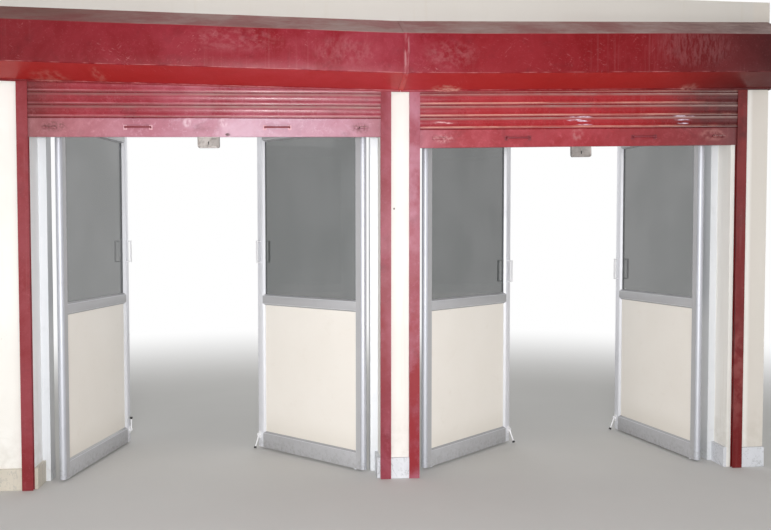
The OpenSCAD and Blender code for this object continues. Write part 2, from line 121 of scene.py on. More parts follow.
class Paint(Nodes):
    # a material on object coordinates
    def __init__(self, name):
        super().__init__(bpy.data.materials.new(name))
        self.place = self.add("ShaderNodeTexCoord", {}, {}, "Object")

    def noise(self, scale, detail=4.0, rough=0.55, stretch=None, warp=0.0):
        # grey noise around 0.5; stretch scales the coordinates first
        at = self.place if stretch is None else self.stretched(stretch)
        return self.add("ShaderNodeTexNoise", {}, {
            "Vector": at, "Scale": scale, "Detail": detail, "Roughness": rough, "Distortion": warp}, "Fac")

    def stretched(self, by, move=(0, 0, 0)):
        return self.add("ShaderNodeMapping", {}, {"Vector": self.place, "Scale": by, "Location": move})

    def ease(self, value, low, high, start=0.0, end=1.0):
        # value from low to high becomes start to end, smoothly
        return self.add("ShaderNodeMapRange", {"interpolation_type": "SMOOTHSTEP"}, {
            "Value": value, "From Min": low, "From Max": high, "To Min": start, "To Max": end})

    def blots(self, low, high, scale, detail, rough, stretch=None, warp=0.0, start=0.0, end=1.0):
        # the part of a noise between low and high
        return self.ease(self.noise(scale, detail, rough, stretch, warp), low, high, start, end)

    def axis(self, name):
        return self.add("ShaderNodeSeparateXYZ", {}, {0: self.place}, name)

    def along(self, name, low, high, start=0.0, end=1.0):
        return self.ease(self.axis(name), low, high, start, end)

    def facing(self, name):
        normal = self.add("ShaderNodeNewGeometry", {}, {}, "Normal")
        return self.add("ShaderNodeSeparateXYZ", {}, {0: normal}, name)

    def mix(self, factor, first, second):
        return self.add("ShaderNodeMix", {"data_type": "RGBA"}, {0: factor, 6: first, 7: second}, 2)

    def coats(self, colour, *coats):
        # each coat is a mask and the colour that it lays over the last
        for mask, coat in coats:
            colour = self.mix(mask, colour, coat)
        return colour

    def marked(self, colour, marks):
        # ragged patches: (x, z), their size, how their lines run, what colour and how much of it
        for at, (wide, high), (linesX, linesZ), hue, much in marks:
            local = self.stretched((1 / wide, 0, 1 / high), (-at[0] / wide, 0, -at[1] / high))
            away = self.add("ShaderNodeVectorMath", {"operation": "LENGTH"}, {0: local}, "Value")
            ragged = self.blots(0.38, 0.64, 1.0, 4.0, 0.6, (linesX, 20.0, linesZ))
            colour = self.mix(self.ease(away, 0.45, 1.0, 1.0, 0.0) * ragged * much, colour, tone(*hue))
        return colour

    def strokes(self, angle, across, along, low, high):
        # short thin lines at an angle on the XZ plane
        turned = self.add("ShaderNodeMapping", {"vector_type": "TEXTURE"}, {
            "Vector": self.place, "Rotation": (0, math.radians(angle), 0), "Scale": (1 / along, 1.0, 1 / across)})
        lines = self.add("ShaderNodeTexNoise", {}, {
            "Vector": turned, "Scale": 1.0, "Detail": 2.0, "Roughness": 0.5}, "Fac")
        return self.ease(lines, low, high)

    def bump(self, height, strength, distance, over=None):
        # over is a bump underneath this one
        inputs = {"Height": height, "Strength": strength, "Distance": distance}
        if over is not None:
            inputs["Normal"] = over
        return self.add("ShaderNodeBump", {}, inputs)

    def floorFinish(self, colour):
        # fades to the white background far from the object
        ground = self.add("ShaderNodeBsdfPrincipled", {}, {"Base Color": colour, "Roughness": 0.75})
        away = self.add("ShaderNodeVectorMath", {"operation": "LENGTH"}, {0: self.place}, "Value")
        glow = self.add("ShaderNodeEmission", {}, {"Color": (1, 1, 1, 1), "Strength": 1.0})
        both = self.add("ShaderNodeMixShader", {}, {0: self.ease(away, 3.2, 8.5) * self.seen(), 1: ground, 2: glow})
        self.add("ShaderNodeOutputMaterial", {}, {"Surface": both}, None)
        return self.owner

    def finish(self, **inputs):
        shader = self.add("ShaderNodeBsdfPrincipled", {}, {
            key.replace("_", " "): value for key, value in inputs.items()})
        self.add("ShaderNodeOutputMaterial", {}, {"Surface": shader}, None)
        return self.owner


# camera, light and floor

view = {"at": (-0.6584, -5.2876, 1.5423), "turn": (87.851, 0.0, -6.289), "lens": 38.661}
camera = bpy.data.objects.new("camera", bpy.data.cameras.new("camera"))
camera.data.lens = view["lens"]
camera.data.sensor_width = 36
camera.data.clip_end = 200
camera.location = view["at"]
camera.rotation_euler = [math.radians(a) for a in view["turn"]]
scene.collection.objects.link(camera)
scene.camera = camera
scene.view_settings.view_transform = "Standard"

lamps = {
    "key": {"at": (-0.9, -7.0, 1.5), "aim": (0.0, 0.0, 1.4), "size": (0.9, 0.9), "power": 215},
    "low": {"at": (-0.3, -3.8, 0.9), "aim": (0.0, -0.2, 2.5), "size": (2.2, 1.1), "power": 44},
    "left": {"at": (-5.5, -4.0, 1.7), "aim": (0.0, 0.0, 1.2), "size": (3.0, 2.2), "power": 48},
    "right": {"at": (5.5, -4.0, 1.7), "aim": (0.0, 0.0, 1.2), "size": (3.0, 2.2), "power": 25},
    "back": {"at": (0.0, 6.5, 3.2), "aim": (0.0, 0.0, 1.3), "size": (3.5, 3.5), "power": 50},
}
for name, lamp in lamps.items():
    light = bpy.data.lights.new(name, "AREA")
    light.shape = "RECTANGLE"
    light.size, light.size_y = lamp["size"]
    light.energy = lamp["power"]
    holder = bpy.data.objects.new("lamp_" + name, light)
    holder.location = lamp["at"]
    holder.visible_camera = False
    holder.rotation_euler = (Vector(lamp["aim"]) - Vector(lamp["at"])).to_track_quat("-Z", "Y").to_euler()
    scene.collection.objects.link(holder)

skyLight = 0.42
sky = Nodes(bpy.data.worlds.new("studio"))
scene.world = sky.owner
soft = sky.add("ShaderNodeBackground", {}, {"Color": (1, 1, 1, 1), "Strength": skyLight})
white = sky.add("ShaderNodeBackground", {}, {"Color": (1, 1, 1, 1), "Strength": 1.0})
blend = sky.add("ShaderNodeMixShader", {}, {0: sky.seen(), 1: soft, 2: white})
sky.add("ShaderNodeOutputWorld", {}, {"Surface": blend}, None)

floorPaint = Paint("studio floor")
floorGrey = floorPaint.mix(floorPaint.noise(1.3, 3.0), tone(206, 205, 202), tone(214, 213, 210))
floorBuild = bmesh.new()
bmesh.ops.create_grid(floorBuild, x_segments=1, y_segments=1, size=30)
floorMesh = bpy.data.meshes.new("floor")
floorBuild.to_mesh(floorMesh)
floorBuild.free()
floorMesh.materials.append(floorPaint.floorFinish(floorGrey))
floor = bpy.data.objects.new("floor", floorMesh)
floor.location = (0, 0, -0.001)
scene.collection.objects.link(floor)
print("camera, lamps and floor in place")


# finishes

enamelWear = {"fade": 0.7, "drips": 0.08, "grime": 0.35, "scuffs": 0.3, "specks": 0.1, "dust": 0.9, "relief": 0.2}


def redEnamel(name, hues, gloss, shine=0.35, scratched=1.0, chalk=0.5, marks=(), folded=0.0, laths=False):
    # old enamel on sheet; hues are (x, fresh colour, faded colour) from left to right, and their darker stops
    # towards the ends are painted shade, where the light falls off
    paint = Paint(name)
    wear = enamelWear
    start, end = hues[0][0], hues[-1][0]
    across = paint.add("ShaderNodeMapRange", {}, {"Value": paint.axis("X"), "From Min": start, "From Max": end})
    fresh, faded = (paint.add("ShaderNodeValToRGB", {
        "stops": [((hue[0] - start) / (end - start), tone(*hue[k])) for hue in hues]}, {0: across}, "Color")
        for k in (1, 2))
    mottle = paint.blots(0.5, 0.66, 24.0, 8.0, 0.78, warp=0.3)
    drips = paint.blots(0.5, 0.72, 1.0, 5.0, 0.6, (46.0, 46.0, 1.2)) * paint.blots(0.44, 0.62, 1.6, 3.0, 0.5)
    scuffs = paint.strokes(24, 210.0, 26.0, 0.66, 0.76) + paint.strokes(-50, 230.0, 30.0, 0.67, 0.77)
    scuffs = scuffs * paint.blots(0.5, 0.62, 3.1, 4.0, 0.6)
    specks = paint.blots(0.62, 0.72, 130.0, 3.0, 0.6)
    colour = paint.coats(
        fresh,
        (paint.blots(0.34, 0.68, 2.3, 7.0, 0.62, warp=0.7) * wear["fade"], faded),
        (mottle * chalk, faded),
        (drips * wear["drips"], tone(190, 140, 140)),
        (paint.blots(0.5, 0.78, 7.0, 8.0, 0.7, warp=0.3) * wear["grime"], tone(58, 16, 18)),
        (scuffs * wear["scuffs"] * scratched, tone(210, 152, 156)),
        (specks * wear["specks"], tone(206, 160, 158)))
    if folded:
        # painted light: the underside below the fold is painted brighter red, as if lit from below, and painted
        # darker towards the right end; along the fold runs a pale painted highlight, with some rubbed paint
        up = paint.facing("Z")
        shaded = paint.along("X", 1.5, 2.3)
        edge = paint.ease(up, -0.9, -0.6) * paint.ease(up, -0.4, -0.1, 1.0, 0.0) * (1 - shaded * 0.6)
        colour = paint.coats(
            colour,
            (paint.ease(up, -0.99, -0.9, 1.0, 0.0) * 0.8, paint.mix(shaded, tone(202, 54, 48), tone(112, 34, 32))),
            (edge * paint.blots(0.4, 0.7, 9.0, 5.0, 0.6) * folded, tone(206, 130, 130)))
    lean = None
    if laths:
        # rise is 0 at a lath's curl and 1 at the next one
        rise = paint.add("ShaderNodeAttribute", {"attribute_name": "rise"}, {}, "Fac")
        right = paint.along("X", -0.25, 0.35)
        worn = paint.blots(0.38, 0.55, 1.0, 4.0, 0.6, (3.2, 3.2, 14.0), start=0.35)
        ridge = paint.ease(rise, 0.05, 0.12) * paint.ease(rise, 0.15, 0.24, 1.0, 0.0)
        joint = paint.ease(rise, -0.01, 0.03, 1.0, 0.0) + paint.ease(rise, 0.93, 0.97)
        sides = paint.along("X", 1.62, 2.02) + paint.along("X", -2.24, -2.06, 1.0, 0.0) * 0.4
        colour = paint.coats(
            colour,
            (paint.ease(rise, 0.66, 0.78) * 0.35, paint.mix(right, tone(170, 100, 108), tone(158, 78, 76))),
            (ridge * worn * paint.ease(right, 0.0, 1.0, 0.5, 0.8),
             paint.mix(right, tone(196, 128, 134), tone(212, 156, 140))),
            (joint * 0.42, tone(60, 18, 22)),
            (sides * paint.blots(0.25, 0.6, 14.0, 5.0, 0.6, start=0.5, end=0.85), tone(70, 16, 18)))
        # the laths bulge most above their middle
        lean = paint.bump(rise * 11.0, 1.0, 0.001)
    upward = paint.ease(paint.facing("Z"), 0.1, 0.45)
    settled = paint.blots(0.34, 0.66, 3.5, 7.0, 0.65, start=0.45) * paint.blots(
        0.3, 0.7, 1.0, 5.0, 0.6, (9.0, 34.0, 34.0), start=0.75)
    dust = paint.mix(paint.along("X", -2.2, -1.0), tone(125, 91, 84), tone(177, 154, 148))
    colour = paint.mix(upward * settled * wear["dust"], paint.marked(colour, marks), dust)
    rough = paint.blots(0.3, 0.75, 5.0, 6.0, 0.6, start=gloss, end=gloss + 0.14)
    rough = rough + upward * wear["dust"] * 0.3 + mottle * 0.06
    relief = paint.noise(60.0, 5.0, 0.6) + specks * 0.5 - scuffs * 0.4
    return paint.finish(Base_Color=colour, Roughness=rough, Specular_IOR_Level=shine,
                        Normal=paint.bump(relief, wear["relief"], 0.001, lean))


def plasterWall(name, marks):
    # limewashed plaster with low trowel waves and hairline stains
    paint = Paint(name)
    trowel = paint.noise(14.0, 5.0, 0.55, warp=0.4)
    scuff = paint.blots(0.66, 0.74, 34.0, 6.0, 0.7)
    colour = paint.coats(
        tone(238, 235, 229),
        (paint.blots(0.3, 0.7, 1.7, 4.0, 0.5), tone(244, 242, 237)),
        (paint.ease(paint.facing("X"), 0.6, 0.95) * 0.8, tone(251, 252, 254)),  # painted light: faces turned to +X, the left sides of the doorways, painted brighter where the light falls on them
        (paint.along("Z", 2.75, 2.95) * 0.8, tone(197, 192, 185)),  # painted shade: darker over the hood
        (paint.along("X", 2.305, 2.335) * 0.8, tone(209, 202, 193)),  # painted shade: the wall's right end darker, standing in for a return of the wall
        (paint.blots(0.55, 0.8, 1.0, 5.0, 0.6, (22.0, 22.0, 0.9)) * 0.18, tone(198, 186, 166)),
        (scuff * 0.22, tone(150, 140, 128)),
        (paint.along("Z", 0.0, 0.55, 1.0, 0.0) * paint.ease(trowel, 0.3, 0.75) * 0.35, tone(176, 166, 148)))
    relief = trowel + paint.noise(190.0, 3.0, 0.6) * 0.35 - scuff * 0.4
    return paint.finish(Base_Color=paint.marked(colour, marks), Roughness=0.82, Specular_IOR_Level=0.3,
                        Normal=paint.bump(relief, 0.32, 0.002))


def skirtingStone(name):
    paint = Paint(name)
    cloud = paint.noise(6.0, 7.0, 0.6, warp=0.8)
    vein = paint.blots(0.485, 0.515, 3.2, 8.0, 0.62, warp=2.2)
    fleck = paint.blots(0.56, 0.72, 75.0, 3.0, 0.6)
    cool = paint.along("X", -1.6, -0.4)  # the left pier's tiles are the warmer ones
    colour = paint.coats(
        paint.mix(cool, tone(188, 181, 168), tone(199, 201, 206)),
        (cloud, paint.mix(cool, tone(217, 209, 194), tone(230, 232, 237))),
        (vein * (1 - vein) * 1.8, tone(138, 141, 144)),
        (fleck * 0.25, tone(120, 118, 112)))
    return paint.finish(Base_Color=colour, Roughness=paint.ease(cloud, 0.3, 0.7, 0.35, 0.55),
                        Normal=paint.bump(fleck, 0.12, 0.001))


def anodised(name, dull, bright, metal, gloss, lines=(520.0, 520.0, 2.5), slopeShade=None):
    # satin aluminium with fine drawn lines along its length; slopeShade is a darker colour painted on its sloping
    # faces, painted shade
    paint = Paint(name)
    drawn = paint.noise(1.0, 3.0, 0.6, lines)
    smear = paint.blots(0.56, 0.76, 9.0, 6.0, 0.65)
    foot = paint.along("Z", 0.0, 0.16, 1.0, 0.0) * paint.blots(0.42, 0.7, 40.0, 6.0, 0.7)
    colour = paint.mix(paint.noise(3.0, 5.0, 0.55, warp=0.4) * 0.6 + drawn * 0.4, dull, bright)
    # painted shade: faces that slope up or down take the darker slopeShade colour
    if slopeShade is not None:
        slope = paint.add("ShaderNodeMath", {"operation": "ABSOLUTE"}, {0: paint.facing("Z")})
        colour = paint.mix(paint.ease(slope, 0.2, 0.5), colour, slopeShade)
    colour = paint.coats(colour, (smear * 0.1, tone(132, 132, 134)), (foot * 0.35, tone(118, 112, 102)))
    rough = paint.ease(drawn, 0.2, 0.8, gloss, gloss + 0.06) + smear * 0.04 + foot * 0.2
    return paint.finish(Base_Color=colour, Metallic=metal, Roughness=rough,
                        Normal=paint.bump(drawn, 0.015, 0.0005))


def dustyDarkGlass(name):
    paint = Paint(name)
    haze = paint.noise(2.2, 3.0, 0.5) * 0.7 + paint.noise(1.0, 4.0, 0.55, (7.0, 7.0, 1.0), warp=0.4) * 0.3
    haze = paint.ease(haze, 0.3, 0.7)
    spots = paint.blots(0.68, 0.78, 120.0, 3.0, 0.6)
    # painted shade: the glass is tinted dark grey, standing in for the dark room behind it; the haze lightens it
    # with dust
    return paint.finish(Base_Color=paint.mix(haze, tone(58, 63, 63), tone(84, 89, 88)), IOR=1.5,
                        Roughness=paint.ease(haze, 0.0, 1.0, 0.04, 0.1),
                        Alpha=paint.ease(haze, 0.0, 1.0, 0.57, 0.63) + spots * 0.12)


def creamBoard(name):
    # melamine-faced board: faint cloud, hand smudges, dirt along the foot
    paint = Paint(name)
    cloud = paint.noise(3.0, 5.0, 0.55)
    smudge = paint.blots(0.56, 0.78, 11.0, 6.0, 0.68, warp=0.5)
    colour = paint.coats(
        tone(240, 234, 225), (cloud, tone(247, 242, 235)), (smudge * 0.12, tone(196, 184, 162)),
        (paint.along("Z", 0.11, 0.3, 1.0, 0.0) * cloud * 0.4, tone(186, 176, 156)))
    return paint.finish(Base_Color=colour, Roughness=paint.ease(smudge, 0.0, 1.0, 0.38, 0.55),
                        Normal=paint.bump(paint.noise(300.0, 2.0, 0.5), 0.06, 0.0005))


def oldSteel(name, body, rusty, rough):
    paint = Paint(name)
    blot = paint.blots(0.45, 0.72, 22.0, 7.0, 0.65, warp=0.6)
    rust = paint.blots(0.56, 0.7, 60.0, 7.0, 0.7)
    colour = paint.coats(body, (blot * 0.6, tone(96, 92, 88)), (rust * rusty, tone(112, 66, 42)))
    return paint.finish(Base_Color=colour, Metallic=paint.ease(rust, 0.0, 1.0, 0.6, 0.05),
                        Roughness=blot * 0.15 + rough, Normal=paint.bump(rust + blot * 0.4, 0.2, 0.001))


def softBlack(name):
    paint = Paint(name)
    bloom = paint.noise(30.0, 4.0, 0.6)
    return paint.finish(Base_Color=paint.mix(bloom, tone(20, 20, 21), tone(44, 43, 42)),
                        Roughness=paint.ease(bloom, 0.3, 0.7, 0.5, 0.75), Normal=paint.bump(bloom, 0.1, 0.0005))


pale = (214, 164, 166)
chalky = (228, 210, 228)
finishes = {
    # painted shade: the hood darkens towards both ends, most at the right
    "red_paint": redEnamel("hood enamel", [
        (-2.45, (100, 11, 18), (118, 32, 37)), (-1.7, (116, 9, 18), (137, 37, 48)),
        (-0.9, (125, 9, 21), (150, 49, 63)), (0.05, (130, 18, 32), (158, 63, 77)),
        (0.45, (123, 5, 14), (141, 35, 44)), (1.4, (116, 4, 12), (134, 32, 39)),
        (2.0, (80, 7, 10), (98, 30, 33)), (2.43, (52, 6, 7), (66, 22, 23))],
        0.3, shine=0.2, folded=0.6, chalk=0.45, marks=[
            ((0.004, 2.60), (0.022, 0.17), (90, 12), (206, 158, 160), 0.4),
            ((0.26, 2.60), (0.2, 0.1), (34, 42), pale, 0.1),
            ((1.77, 2.68), (0.32, 0.15), (70, 20), pale, 0.08),
            ((-1.0, 2.66), (0.32, 0.09), (26, 40), pale, 0.1),
            ((-0.36, 2.61), (0.24, 0.11), (40, 24), pale, 0.09),
            ((-2.08, 2.46), (0.14, 0.03), (30, 60), (206, 150, 138), 0.2),
            ((-1.79, 2.47), (0.05, 0.03), (50, 30), (206, 150, 138), 0.2),
            ((0.29, 2.44), (0.12, 0.02), (30, 120), (214, 160, 146), 0.6),
            ((1.86, 2.48), (0.08, 0.02), (40, 60), (200, 150, 140), 0.4)]),
    "curtain": redEnamel("curtain enamel", [
        (-2.25, (110, 36, 38), (140, 66, 70)), (-1.95, (140, 34, 44), (166, 72, 84)),
        (-0.9, (140, 40, 58), (176, 92, 110)), (-0.2, (136, 34, 50), (168, 84, 100)),
        (0.15, (136, 22, 36), (160, 58, 70)), (0.5, (150, 14, 24), (170, 52, 60)),
        (1.4, (148, 12, 20), (166, 46, 54)), (1.95, (126, 12, 18), (146, 44, 48)),
        (2.25, (70, 16, 20), (96, 34, 36))],
        0.2, scratched=0.5, chalk=0.35, laths=True, marks=[
            ((1.148, 2.287), (0.100, 0.0085), (12, 70), chalky, 1.5),
            ((1.146, 2.264), (0.090, 0.0100), (14, 70), chalky, 1.4),
            ((1.178, 2.240), (0.070, 0.0065), (16, 80), chalky, 1.2),
            ((1.850, 2.302), (0.085, 0.0080), (12, 70), chalky, 1.5),
            ((1.842, 2.278), (0.070, 0.0065), (14, 80), chalky, 1.3),
            ((1.835, 2.256), (0.050, 0.0050), (16, 80), chalky, 1.0),
            ((0.270, 2.236), (0.085, 0.0100), (14, 70), pale, 1.2)]),
    # painted glare: the pale pink on the middle guides, near x -0.16 and 0.07, stands in for the light's sheen on
    # their paint, with redder patches where it doesn't reach
    "guide": redEnamel("guide enamel", [
        (-2.27, (126, 28, 34), (146, 64, 72)), (-0.16, (124, 28, 42), (152, 72, 88)),
        (0.07, (138, 44, 58), (174, 104, 120)), (2.2, (104, 10, 12), (122, 40, 40))],
        0.34, scratched=0.6, marks=[
            ((0.07, 1.88), (0.11, 0.8), (6, 5), (190, 136, 154), 0.55),
            ((0.07, 0.3), (0.11, 1.35), (6, 5), (138, 26, 36), 1.1),
            ((-0.16, 0.75), (0.11, 0.7), (6, 5), (130, 24, 36), 1.2),
            ((-0.16, 2.3), (0.11, 0.6), (6, 5), (126, 26, 38), 0.9),
            ((2.21, 0.62), (0.11, 0.5), (16, 14), (140, 74, 72), 0.6),
            ((2.21, 2.3), (0.11, 0.35), (14, 9), (66, 14, 14), 0.6),
            # painted shadow, with grime: a dark ragged strip down the inner edge of the rightmost guide
            ((2.190, 1.15), (0.026, 2.2), (9, 5), (48, 32, 28), 1.6)]),
    # painted sheen: the pale pink stops near x -0.75 stand in for glare on the left bar, over its real fading
    "faded_red_paint": redEnamel("faded bar enamel", [
        (-2.25, (126, 66, 68), (158, 102, 106)), (-1.95, (152, 82, 92), (190, 126, 136)),
        (-1.5, (168, 100, 116), (198, 148, 164)), (-0.75, (184, 134, 152), (214, 184, 202)),
        (-0.35, (170, 108, 126), (196, 152, 170)), (-0.13, (144, 78, 90), (178, 120, 132)),
        (0.1, (148, 66, 80), (184, 112, 126)), (0.38, (148, 30, 42), (180, 78, 90)),
        (1.2, (144, 20, 30), (172, 62, 74)), (1.85, (124, 20, 28), (150, 62, 68)),
        (2.2, (84, 22, 24), (110, 50, 52))],
        0.34, shine=0.5, scratched=1.0, chalk=0.6, marks=[
            # painted highlights: the two pale marks beside the dents near the bar's top edge
            ((-1.300, 2.215), (0.035, 0.035), (50, 20), (240, 216, 226), 0.5),
            ((-1.085, 2.218), (0.035, 0.035), (50, 20), (240, 216, 226), 0.5),
            ((-1.057, 2.146), (0.02, 0.012), (9, 9), (70, 26, 30), 1.0),
            ((-2.07, 2.183), (0.09, 0.04), (70, 50), (96, 48, 44), 0.7),
            ((-0.245, 2.197), (0.08, 0.04), (70, 50), (120, 62, 68), 0.7),
            ((0.27, 2.137), (0.08, 0.035), (60, 60), (204, 150, 152), 0.6),
            ((1.136, 2.175), (0.05, 0.05), (40, 30), (200, 150, 150), 0.35),
            ((2.05, 2.186), (0.12, 0.05), (26, 30), (188, 130, 124), 0.4)]),
    "plaster": plasterWall("limewashed plaster", [
        ((-0.075, 1.50), (0.010, 0.012), (9, 9), (60, 54, 50), 1.0),
        ((-0.036, 1.70), (0.008, 0.008), (9, 9), (90, 84, 78), 1.0)]),
    "stone_tile": skirtingStone("skirting stone"),
    # painted light: stile, rail, nose, bead and jamb metal are lit and shaded copies of one aluminium; the free
    # stiles and jambs are painted bright, the rails and noses darker
    "anodised_aluminium": anodised("satin stile metal", tone(218, 219, 225), tone(238, 239, 244), 0.25, 0.4),
    "rail": anodised("satin rail metal", tone(171, 171, 173), tone(189, 189, 192), 0.12, 0.45, (2.5, 2.5, 520.0)),
    "nose": anodised("satin nose metal", tone(184, 186, 193), tone(205, 207, 214), 0.5, 0.47),
    "bead": anodised("bead metal", tone(206, 207, 212), tone(226, 227, 232), 0.15, 0.42, slopeShade=tone(168, 168, 171)),
    "jamb": anodised("pale jamb metal", tone(214, 217, 221), tone(231, 233, 236), 0.12, 0.42),
    "clear_glass": dustyDarkGlass("dusty glass"),
    "cream_laminate": creamBoard("cream board"),
    "dull_steel": oldSteel("galvanised steel", tone(145, 139, 135), 0.35, 0.45),
    "pull": anodised("bright pull metal", tone(238, 238, 241), tone(248, 248, 250), 0.05, 0.3),
    "black_rubber": softBlack("black rubber"),
    "dark_steel": oldSteel("black bracket steel", tone(52, 50, 50), 0.5, 0.55),
    "worn_foot_and_glint": anodised("worn foot paint", tone(198, 140, 150), tone(226, 182, 192), 0.0, 0.4),
    "painted_rod": anodised("painted rod", tone(112, 34, 42), tone(142, 54, 64), 0.0, 0.4),
}
# nodes with a finish other than their slot's
ownFinish = {"shutter_guides": "guide", "door_jambs": "jamb", "door_heads": "jamb",
             **{"leaf_%d_beads" % n: "bead" for n in (1, 2, 3, 4)}}
slotOf = {row["node"]: row["material_slot"] for row in frame["record"]["subparts"]}
for name, node in nodes.items():
    node.data.materials.clear()
    node.data.materials.append(finishes[ownFinish.get(name, slotOf[name])])
print("finishes made:", len(finishes))


# bmesh helpers

def slab(build, low, high):
    low, high = Vector(low), Vector(high)
    size = Matrix.Diagonal((*(high - low), 1))
    return bmesh.ops.create_cube(build, size=1, matrix=Matrix.Translation((low + high) / 2) @ size)["verts"]


def rod(build, start, end, radius, sides=16, tip=None):
    start, end = Vector(start), Vector(end)
    turn = (end - start).to_track_quat("Z", "Y").to_matrix().to_4x4()
    return bmesh.ops.create_cone(
        build, cap_ends=True, segments=sides, radius1=radius, radius2=radius if tip is None else tip,
        depth=(end - start).length, matrix=Matrix.Translation((start + end) / 2) @ turn)["verts"]


def stud(build, at, rise, radius, sides, tip):
    # a rivet's or a screw's head, on a face to the front
    return rod(build, at, Vector(at) - Vector((0, rise, 0)), radius, sides, tip)


def edgesOf(verts):
    return list({edge for vert in verts for edge in vert.link_edges})


def edgesAlong(verts, axis, least=0.001):
    return [e for e in edgesOf(verts) if abs(e.verts[0].co[axis] - e.verts[1].co[axis]) > least]


def drawOut(build, parts, by):
    # extrudes faces or edges and moves what that made, which it gives back
    if isinstance(parts[0], bmesh.types.BMFace):
        grown = bmesh.ops.extrude_face_region(build, geom=parts)["geom"]
    else:
        grown = bmesh.ops.extrude_edge_only(build, edges=parts)["geom"]
    bmesh.ops.translate(build, vec=by, verts=[g for g in grown if isinstance(g, bmesh.types.BMVert)])
    return grown


def soften(build, edges, width, segments=2):
    return bmesh.ops.bevel(build, geom=edges, offset=width, segments=segments, affect="EDGES",
                           profile=0.5, material=-1, clamp_overlap=True)["verts"]


def cutAt(build, axis, places):
    # cuts everything at these places along an axis
    across = Vector((axis == 0, axis == 1, axis == 2))
    for place in places:
        bmesh.ops.bisect_plane(build, geom=build.verts[:] + build.edges[:] + build.faces[:],
                               dist=1e-6, plane_co=across * place, plane_no=across)


def steps(low, high, step):
    count = max(2, round((high - low) / step))
    return [low + (high - low) * k / count for k in range(1, count)]


def paintFaces(verts, slot):
    for face in {face for vert in verts for face in vert.link_faces}:
        face.material_index = slot


def settle(build, name, body, paints, hides=(), turn=None, smooth=35):
    # makes the bmesh a piece that rides on a body, in place of the nodes that it hides
    if turn is not None:
        bmesh.ops.transform(build, matrix=turn, verts=build.verts)
    bmesh.ops.recalc_face_normals(build, faces=build.faces)
    mesh = bpy.data.meshes.new(name)
    build.to_mesh(mesh)
    build.free()
    for paint in paints:
        mesh.materials.append(finishes[paint])
    for polygon in mesh.polygons:
        polygon.use_smooth = True
    mesh.set_sharp_from_angle(angle=math.radians(smooth))
    piece = bpy.data.objects.new(name, mesh)
    scene.collection.objects.link(piece)
    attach(piece, body)
    if hides:
        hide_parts(*hides)
    return piece


# plastered wall

wallShape = {"step": 0.12, "corner": 0.006, "sharp": 0.3, "hollow": 0.0016, "wave": 2.1}
headLow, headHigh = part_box("head_wall")
endLeft, wallFront, doorTop = headLow
endRight, wallBack, wallTop = headHigh
leftDoor = (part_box("left_pier")[1].x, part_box("centre_pier")[0].x)
rightDoor = (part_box("centre_pier")[1].x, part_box("right_pier")[0].x)


def plasterFront():
    build = bmesh.new()
    outline = [(endLeft, 0), (leftDoor[0], 0), (leftDoor[0], doorTop), (leftDoor[1], doorTop), (leftDoor[1], 0),
               (rightDoor[0], 0), (rightDoor[0], doorTop), (rightDoor[1], doorTop), (rightDoor[1], 0),
               (endRight, 0), (endRight, wallTop), (endLeft, wallTop)]
    face = build.faces.new([build.verts.new((x, wallFront, z)) for x, z in outline])
    drawOut(build, [face], (0, wallBack - wallFront, 0))
    # the doorways' corners, but for the outer uprights, which stay sharp behind the guides
    corners = [e for e in build.edges if any(v.co.z > 0.001 for v in e.verts) and all(
        endLeft + 0.01 < v.co.x < endRight - 0.01
        and (v.co.z > 0.001 or abs(v.co.x) < endRight - wallShape["sharp"]) for v in e.verts)]
    soften(build, corners, wallShape["corner"])
    cutAt(build, 0, steps(endLeft, endRight, wallShape["step"]))
    cutAt(build, 2, steps(0, wallTop, wallShape["step"]))
    for vert in build.verts:
        sag = wallShape["hollow"] * (0.5 + 0.5 * noise.noise(vert.co * wallShape["wave"]))
        if vert.co.y < wallFront + 1e-5:
            vert.co.y += sag
        elif vert.co.y > wallBack - 1e-5:
            vert.co.y -= sag
    settle(build, "plaster_front", "front", ["plaster"],
           ("left_pier", "centre_pier", "right_pier", "head_wall"), smooth=30)


plasterFront()
print("wall plastered")


# hood of folded sheet

hoodShape = {"thick": 0.002, "fold": 0.005, "step": 0.09, "swell": 0.0035, "ripple": 0.0025,
             "lip": 0.012, "wallLip": 0.024, "underRise": 0.053, "front": 0.235, "topRise": 0.14,
             "fallLeft": 0.022, "riseRight": 0.060, "gap": 0.001, "over": 0.104, "out": 0.300, "guide": 0.032,
             "overlap": 0.03, "rows": 0.05, "rowEdge": 0.02, "limed": 0.03}
hoodZ = doorTop + hoodShape["over"]
hoodPivot = hoodZ - hoodShape["fallLeft"] / 2


def hoodLine(out=0.0):
    # the folds as (y, z), pushed outwards by a small amount
    shape = hoodShape
    front = wallFront - shape["out"] - out
    foldZ = hoodZ + shape["underRise"]
    topZ = foldZ + shape["front"] + shape["topRise"]
    lipY = wallFront - shape["guide"] - out
    backY = wallFront - shape["thick"] - out
    return [(lipY, hoodZ - shape["lip"]), (lipY, hoodZ - out), (front, foldZ - out),
            (front, foldZ + shape["front"] + out), (backY, topZ + out), (backY, topZ + shape["wallLip"])]


def hoodTurn(side):
    slope = hoodShape["fallLeft"] / -endLeft if side < 0 else -hoodShape["riseRight"] / endRight
    return (Matrix.Translation((0, 0, hoodPivot)) @ Matrix.Rotation(math.atan(slope), 4, "Y")
            @ Matrix.Translation((0, 0, -hoodZ)))


def foldedSheet(build, start, end, line):
    # draws a profile out along X and rounds its folds
    verts = [build.verts.new((start, y, z)) for y, z in line]
    drawOut(build, [build.edges.new(pair) for pair in zip(verts, verts[1:])], (end - start, 0, 0))
    soften(build, [e for e in build.edges if len(e.link_faces) == 2], hoodShape["fold"], 3)


